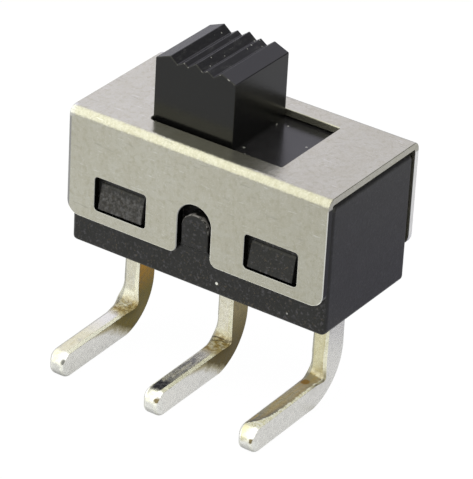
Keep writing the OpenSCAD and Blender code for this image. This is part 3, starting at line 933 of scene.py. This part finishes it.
def knob_plastic_material():
    """Smooth black moulding, dusty on its ridges and slide plate, with pale spots along its front crest:
    wear and painted glints.
    """
    material, tree = new_material("knob_moulding")
    x, _, z = parts(place_mm(tree))
    _, across, up = (abs(part) for part in facing(tree))
    grain = noise(tree, 9, 4, 0.65)
    plate, top = z.ramp(-0.2, -0.35), z.ramp(2.1, 2.2)
    ridged = top * up.ramp(0.25, 0.4) * x.ramp(REST_X + 1.3, REST_X + 1.2)
    scuffs = noise(tree, 1, 4, 0.65, stretch=(5, 1.6, 5))
    # Pale spots on the front crest: wear, and painted glints.
    crest = top * up.ramp(0.12, 0.3) * across.ramp(0.1, 0.3) * noise(tree, 6.5, 2, 0.5).ramp(0.58, 0.68)
    colour = painted(
        grain.ramp(0.35, 0.75).mix(0.003, (0.005, 0.005, 0.0053)),
        (plate * noise(tree, 2.2, 4).ramp(0.3, 0.7, 0.6, 1), (0.019, 0.0185, 0.02)),
        (ridged * scuffs.ramp(0.5, 0.75), 0.028), (ridged * dust(tree, 3.6, 0.42), (0.22, 0.22, 0.21)),
        (plate * dust(tree, 2.6, 0.22), (0.3, 0.3, 0.29)), (crest, (0.2, 0.195, 0.195)),
    )
    relief = bump(noise(tree, 14), 0.003, 0.5)
    return finished(material, colour, grain.ramp(0.3, 0.7, 0.18, 0.26), relief, IOR=1.45)


def plating_material():
    """Tinned brass legs, mottled on their broad faces and tarnished inside the bends.

    Their cut sides are solder grey up to a slanting dip line and bare above it, save on the right leg.
    Reflections, highlights and shade are painted on the leg tops, the noses, the coined facets and the left
    edges.
    """
    material, tree = new_material("terminal_plating")
    place = place_mm(tree)
    x, y, z = parts(place)
    rightward, _, upward = facing(tree)
    mottle, drift = noise(tree, 6, 4, 0.65), noise(tree, 2.4, 4, 0.65)
    spotty = mottle.ramp(0.4, 0.6)
    streaks = noise(tree, 1, stretch=(10, 1.2, 3))
    left, right = x.ramp(-1.9, -2.1), x.ramp(1.9, 2.1)
    middle = ~left * ~right
    across = x.math("WRAP", LEG_PITCH / 2, -LEG_PITCH / 2)  # X from the leg's own middle
    half, low, tip = LEG_HALF_WIDTH, LEG_LOW.z, LEG_LOW.y
    side = abs(rightward).ramp(0.75, 0.9)
    front = ~side
    upper = abs(upward).ramp(0.5, 0.8)
    height = z - DIP_POINT[1] + (y - DIP_POINT[0]) * DIP_SLOPE  # above the dip line

    # Tin, with painted reflections: dark wisps and a dark spot on the middle leg's top, and paler on the
    # left one's top.
    wisps = noise(tree, 1, 4, 0.7, stretch=(7, 1.6, 3))
    reflected_spot = y + drift.ramp(0.3, 0.7, -0.35, 0.35)
    reflected_spot = middle * upper * reflected_spot.ramp(-4.55, -4.8) * reflected_spot.ramp(-5.5, -5.3)
    tin = painted(
        mottle.ramp(0.38, 0.68).mix((0.77, 0.74, 0.62), (0.93, 0.91, 0.8)),
        (streaks.ramp(0.45, 0.7, 0, 0.4), (0.68, 0.62, 0.42)),
        (drift.ramp(0.58, 0.7, 0, 0.55), (0.5, 0.5, 0.53)), (left * upper, (0.9, 0.9, 0.79), "MULTIPLY"),
        (right, (0.88, 0.86, 0.69), "MULTIPLY"),
        (middle * upper * wisps.ramp(0.42, 0.56) * y.ramp(-1.6, -2.6, 0, 0.8), (0.29, 0.29, 0.31)),
        (reflected_spot, spotty.mix((0.07, 0.07, 0.085), (0.17, 0.17, 0.18))),
        (left * upper * y.ramp(-3.8, -2.4, 0, 0.7), (0.83, 0.83, 0.84)),
    )

    # Solder on the cut sides, and a pale tone on the coined facets: worn tin and a painted highlight.
    seam = right * abs(height + 0.05).ramp(0.3, 0) * y.ramp(-2.6, -1, 0, 0.6)
    solder = painted(
        mottle.ramp(0.35, 0.7).mix((0.75, 0.74, 0.725), (0.9, 0.89, 0.87)),
        (drift.ramp(0.55, 0.65, 0, 0.5), (0.66, 0.65, 0.64)), (right, 0.92, "MULTIPLY"),
        (seam, (0.42, 0.4, 0.32)),
    )
    coined = abs(rightward).ramp(0.14, 0.22) * front
    worn = left.mix(spotty.mix((0.74, 0.72, 0.58), (0.88, 0.87, 0.76)), (0.95, 0.94, 0.84))

    # Nose, painted with light and shade: whiter on its right and on its facet as painted highlights, paler
    # grey below as painted light, and a dark dent as painted shade.
    nose = y.ramp(tip + NOSE_LENGTH, tip + 0.3)
    high = z.ramp(low + NOSE_HIGH, low + 0.9)
    whiter = (across + mottle.ramp(0.3, 0.7, -0.15, 0.15)).ramp(-0.2, 0.15, 0.15, 0.9)
    dent = field(tree, "CombineXYZ", {0: across, 2: z}).distance((DENT_X, 0, low + DENT_RISE))
    dent = (dent + mottle.ramp(0.3, 0.7, -0.04, 0.04)).ramp(0.14, 0.08)
    tone = painted(
        side.mix(tin, solder), (coined, worn), (nose * front * whiter, (0.93, 0.93, 0.89)),
        (nose * (z.ramp(low + NOSE_LOW, low + 0.68) | coined * ~high),
         spotty.mix((0.73, 0.73, 0.71), (0.87, 0.87, 0.86))),
        (nose * coined * high, (0.95, 0.95, 1)), (nose * dent * front, left.mix((0.17, 0.13, 0.06), 0.16)),
    )

    # Sides above the dip line: olive, then bare brass.
    ragged = height + drift.ramp(0.3, 0.7, -0.12, 0.12)
    wedge = z - (low + LEG_THICKNESS) + (y + 3.9) * 0.2
    dipped = side * ~right
    bare = dipped * ragged.ramp(0, 0.3)
    duller = z.ramp(-10, -8.4).mix((0.1, 0.07, 0.01), (0.24, 0.195, 0.085))
    brass = painted(
        z.ramp(-9.4, -8).mix((0.14, 0.105, 0.015), (0.35, 0.17, 0)), (x.ramp(-2, -1.9), duller),
        (mottle.ramp(0.45, 0.6, 0, 0.35), (0.11, 0.1, 0.06)),
    )

    # Golden tarnish in the bends, with two creases on the middle leg.
    bend = abs(z - BEND_MIDDLE[1]).ramp(0.15, 0.5, 1, 0) * abs(y - BEND_MIDDLE[0]).ramp(0.4, 0.8, 1, 0)
    inside_bend = bend * front
    gold = mottle.ramp(0.42, 0.6).mix((0.28, 0.19, 0.055), (0.55, 0.46, 0.24))
    tone = painted(
        tone, (dipped * (ragged.ramp(-0.3, 0.1, 0, 0.9) | wedge.ramp(-0.1, 0.1)), (0.42, 0.37, 0.22)),
        (bare, brass), (inside_bend * noise(tree, 3.2, 4).ramp(0.32, 0.5, 0.3, 1), gold),
    )
    wavy = y + z + drift.ramp(0.3, 0.7, -0.04, 0.04)
    for level, slope, strength in CREASES:
        crease = inside_bend * middle * abs(wavy + across * slope - level).ramp(0.07, 0.02, 0, strength)
        tone = crease.mix(tone, (0.07, 0.045, 0.015))

    # The right leg's top, painted with reflections: dark on the left of a line that runs across it near the
    # tip, pale on its right.
    flat_right = right * abs(upward).ramp(0.8, 0.9)
    run = y.ramp(-1.6, -5.3).math("POWER", 7)
    edge = across + run.ramp(0, 1, -0.19, 0.27) + mottle.ramp(0.3, 0.7, -0.03, 0.03)
    shaded = painted(
        y.ramp(-3.6, -4.8).mix((0.35, 0.3, 0.2), (0.2, 0.19, 0.19)),
        (streaks.ramp(0.42, 0.6, 0, 0.7), (0.42, 0.3, 0.12)),
        (edge.ramp(-0.25, 0) * y.ramp(-2.5, -4.6, 0.2, 0.95), (0.1, 0.1, 0.125)),
        (edge.ramp(-0.01, 0.03), mottle.ramp(0.44, 0.58).mix((0.75, 0.72, 0.55), (0.9, 0.9, 0.86))),
    )
    corner = right * front * abs(across - 0.3).ramp(0.1, 0.04) * mottle.ramp(0.4, 0.6, 0.5, 0.9)
    corner *= z.ramp(-9.35, -9.85) * y.ramp(-1.75, -1.35)

    # Painted shade: darker left edges, and the round ends darker where they face left or down.
    outline = front * across.ramp(0.07 - half, 0.03 - half)
    outline |= nose * (rightward.ramp(-0.3, -0.65) | upward.ramp(-0.1, -0.5))
    tone = painted(
        tone, (flat_right * nose.ramp(0, 1, 0.9, 0), shaded),
        (front * place.distance(RUST_SPOT).ramp(0.24, 0.16), (0.25, 0.13, 0)),
        (corner, (0.08, 0.065, 0.03)), (outline * 0.7, (0.33, 0.33, 0.32)),
    )
    satin = inside_bend | coined | flat_right
    metallic = bare.mix(satin.ramp(0, 1, 0.75, 0.25), 0.97)
    rough = mottle.ramp(0.3, 0.7, 0.2, 0.36) + bend.ramp(0, 1, 0, 0.2)
    relief = bump(noise(tree, 22, 2), 0.002, 0.25, bump(mottle, 0.014, 0.4))
    return finished(material, tone, rough, relief, Metallic=metallic)


def plain_metal(name, dark, light, rough):
    """Metal of the hidden pieces, with a faint grain."""
    material, tree = new_material(name)
    grain = noise(tree, 1, stretch=(3, 12, 12))
    tone, relief = grain.ramp(0.35, 0.65).mix(dark, light), bump(grain, 0.002, 0.4)
    return finished(material, tone, grain.ramp(0.3, 0.7, rough, rough + 0.12), relief, Metallic=1)


def dress(node_name, material):
    shown = frame["nodes"][node_name]
    shown.data.materials.clear()
    shown.data.materials.append(material)


# --- Stage ---

FLOOR_SIZE = 3  # metres
CAMERA_PLACE, CAMERA_TURN = (70.754, -109.147, 68.665), (60.3111, -2.8091, 34.5275)
CAMERA_LENS, CAMERA_SHIFT = 275.1, (-0.0057, -0.0007)
LAMP_WAY, LAMP_DISTANCE, LAMP_SIZE, LAMP_POWER = (-0.4, -0.5, 0.77), 0.5, 0.3, 0.02


def build_floor():
    """Pale paper floor, painted darker behind on the right as the switch's shadow, that cameras see as
    white; mirrors near the switch see it whiter, painted light where its shadow falls.
    """
    material, tree = new_material("floor")
    place = place_mm(tree)
    x, y, _ = parts(place)
    # Painted shadow: the paper is darker behind the switch on the right.
    behind = (x + y).ramp(9, 16) * (x + y).ramp(22, 38, 1, 0.25)
    paper = field(tree, "BsdfDiffuse", {"Color": behind.mix((0.535, 0.54, 0.575), (0.415, 0.41, 0.52))})
    rays = {name: Field(socket) for name, socket in node(tree, "LightPath").outputs.items()}
    mirrors = rays["Is Glossy Ray"] | rays["Is Transmission Ray"]
    # Painted light: mirrors see more white near the switch, less in the painted shadow.
    mirrors *= place.distance((2, 0, 0)).ramp(10, 6, 0.15, 0.6) * ~behind
    white = field(tree, "Emission", {"Color": rgb(1), "Strength": 1.04})
    seen = field(tree, "MixShader", {0: rays["Is Camera Ray"] * 0.94 | mirrors, 1: paper, 2: white})
    node(tree, "OutputMaterial", {"Surface": seen})
    mesh = bpy.data.meshes.new("floor")
    corners = rectangle(span(FLOOR_SIZE), span(FLOOR_SIZE))
    mesh.from_pydata([(*corner, 0) for corner in corners], [], [(0, 1, 2, 3)])
    mesh.materials.append(material)
    floor = placed("floor", mesh)
    floor.location.z = CAD_BOUNDS[0][2]


def build_world():
    """Tent of light: warm and bright in front and overhead, plain behind, dim behind on the right."""
    world = bpy.data.worlds.new("studio")
    world.use_nodes = True
    tree = world.node_tree
    tree.nodes.clear()
    x, y, z = parts(field(tree, "TexCoord", output="Generated"))
    behind = x.ramp(0.05, 0.4).mix((1, 0.98, 1.11), (0.14, 0.14, 0.15))
    behind = z.ramp(0, 0.35, 0.65, 1).mix(0, behind)
    tone = (z * 0.4 - y).ramp(-0.07, 0.07).mix(behind, (1.56, 1.56, 1.37))
    light = field(tree, "Background", {"Color": tone})
    white = field(tree, "Background", {"Color": rgb(1)})
    seen = field(tree, "LightPath", output="Is Camera Ray")
    node(tree, "OutputWorld", {"Surface": field(tree, "MixShader", {0: seen, 1: light, 2: white})})
    bpy.context.scene.world = world


def build_lamp():
    """Soft square lamp overhead on the front left, facing the switch."""
    lamp = bpy.data.lights.new("softbox", "AREA")
    lamp.size = LAMP_SIZE
    lamp.color = (1, 1, 0.86)
    lamp.energy = LAMP_POWER
    towards = Vector(LAMP_WAY).normalized()
    softbox = placed("softbox", lamp)
    softbox.location = towards * LAMP_DISTANCE
    softbox.rotation_euler = towards.to_track_quat("Z", "Y").to_euler()


def build_camera():
    lens = bpy.data.cameras.new("camera")
    lens.lens = CAMERA_LENS
    lens.shift_x, lens.shift_y = CAMERA_SHIFT
    lens.clip_start, lens.clip_end = 0.01, 10
    camera = placed("camera", lens)
    camera.location = Vector(CAMERA_PLACE) * MM
    camera.rotation_euler = Euler([math.radians(angle) for angle in CAMERA_TURN])
    bpy.context.scene.camera = camera


# --- Scene ---

build_cover(steel_material())
build_base(base_plastic_material())
build_slider(knob_plastic_material())
build_terminals(plating_material())
dress("contact_clip", plain_metal("contact_bronze", (0.55, 0.38, 0.16), (0.66, 0.48, 0.22), 0.25))
detent = plain_metal("detent_steel", (0.5, 0.5, 0.51), (0.62, 0.62, 0.63), 0.12)
for hidden in ("detent_spring", "detent_ball_front", "detent_ball_back"):
    dress(hidden, detent)
build_floor()
build_world()
build_lamp()
build_camera()
bpy.context.scene.view_settings.view_transform = "Standard"
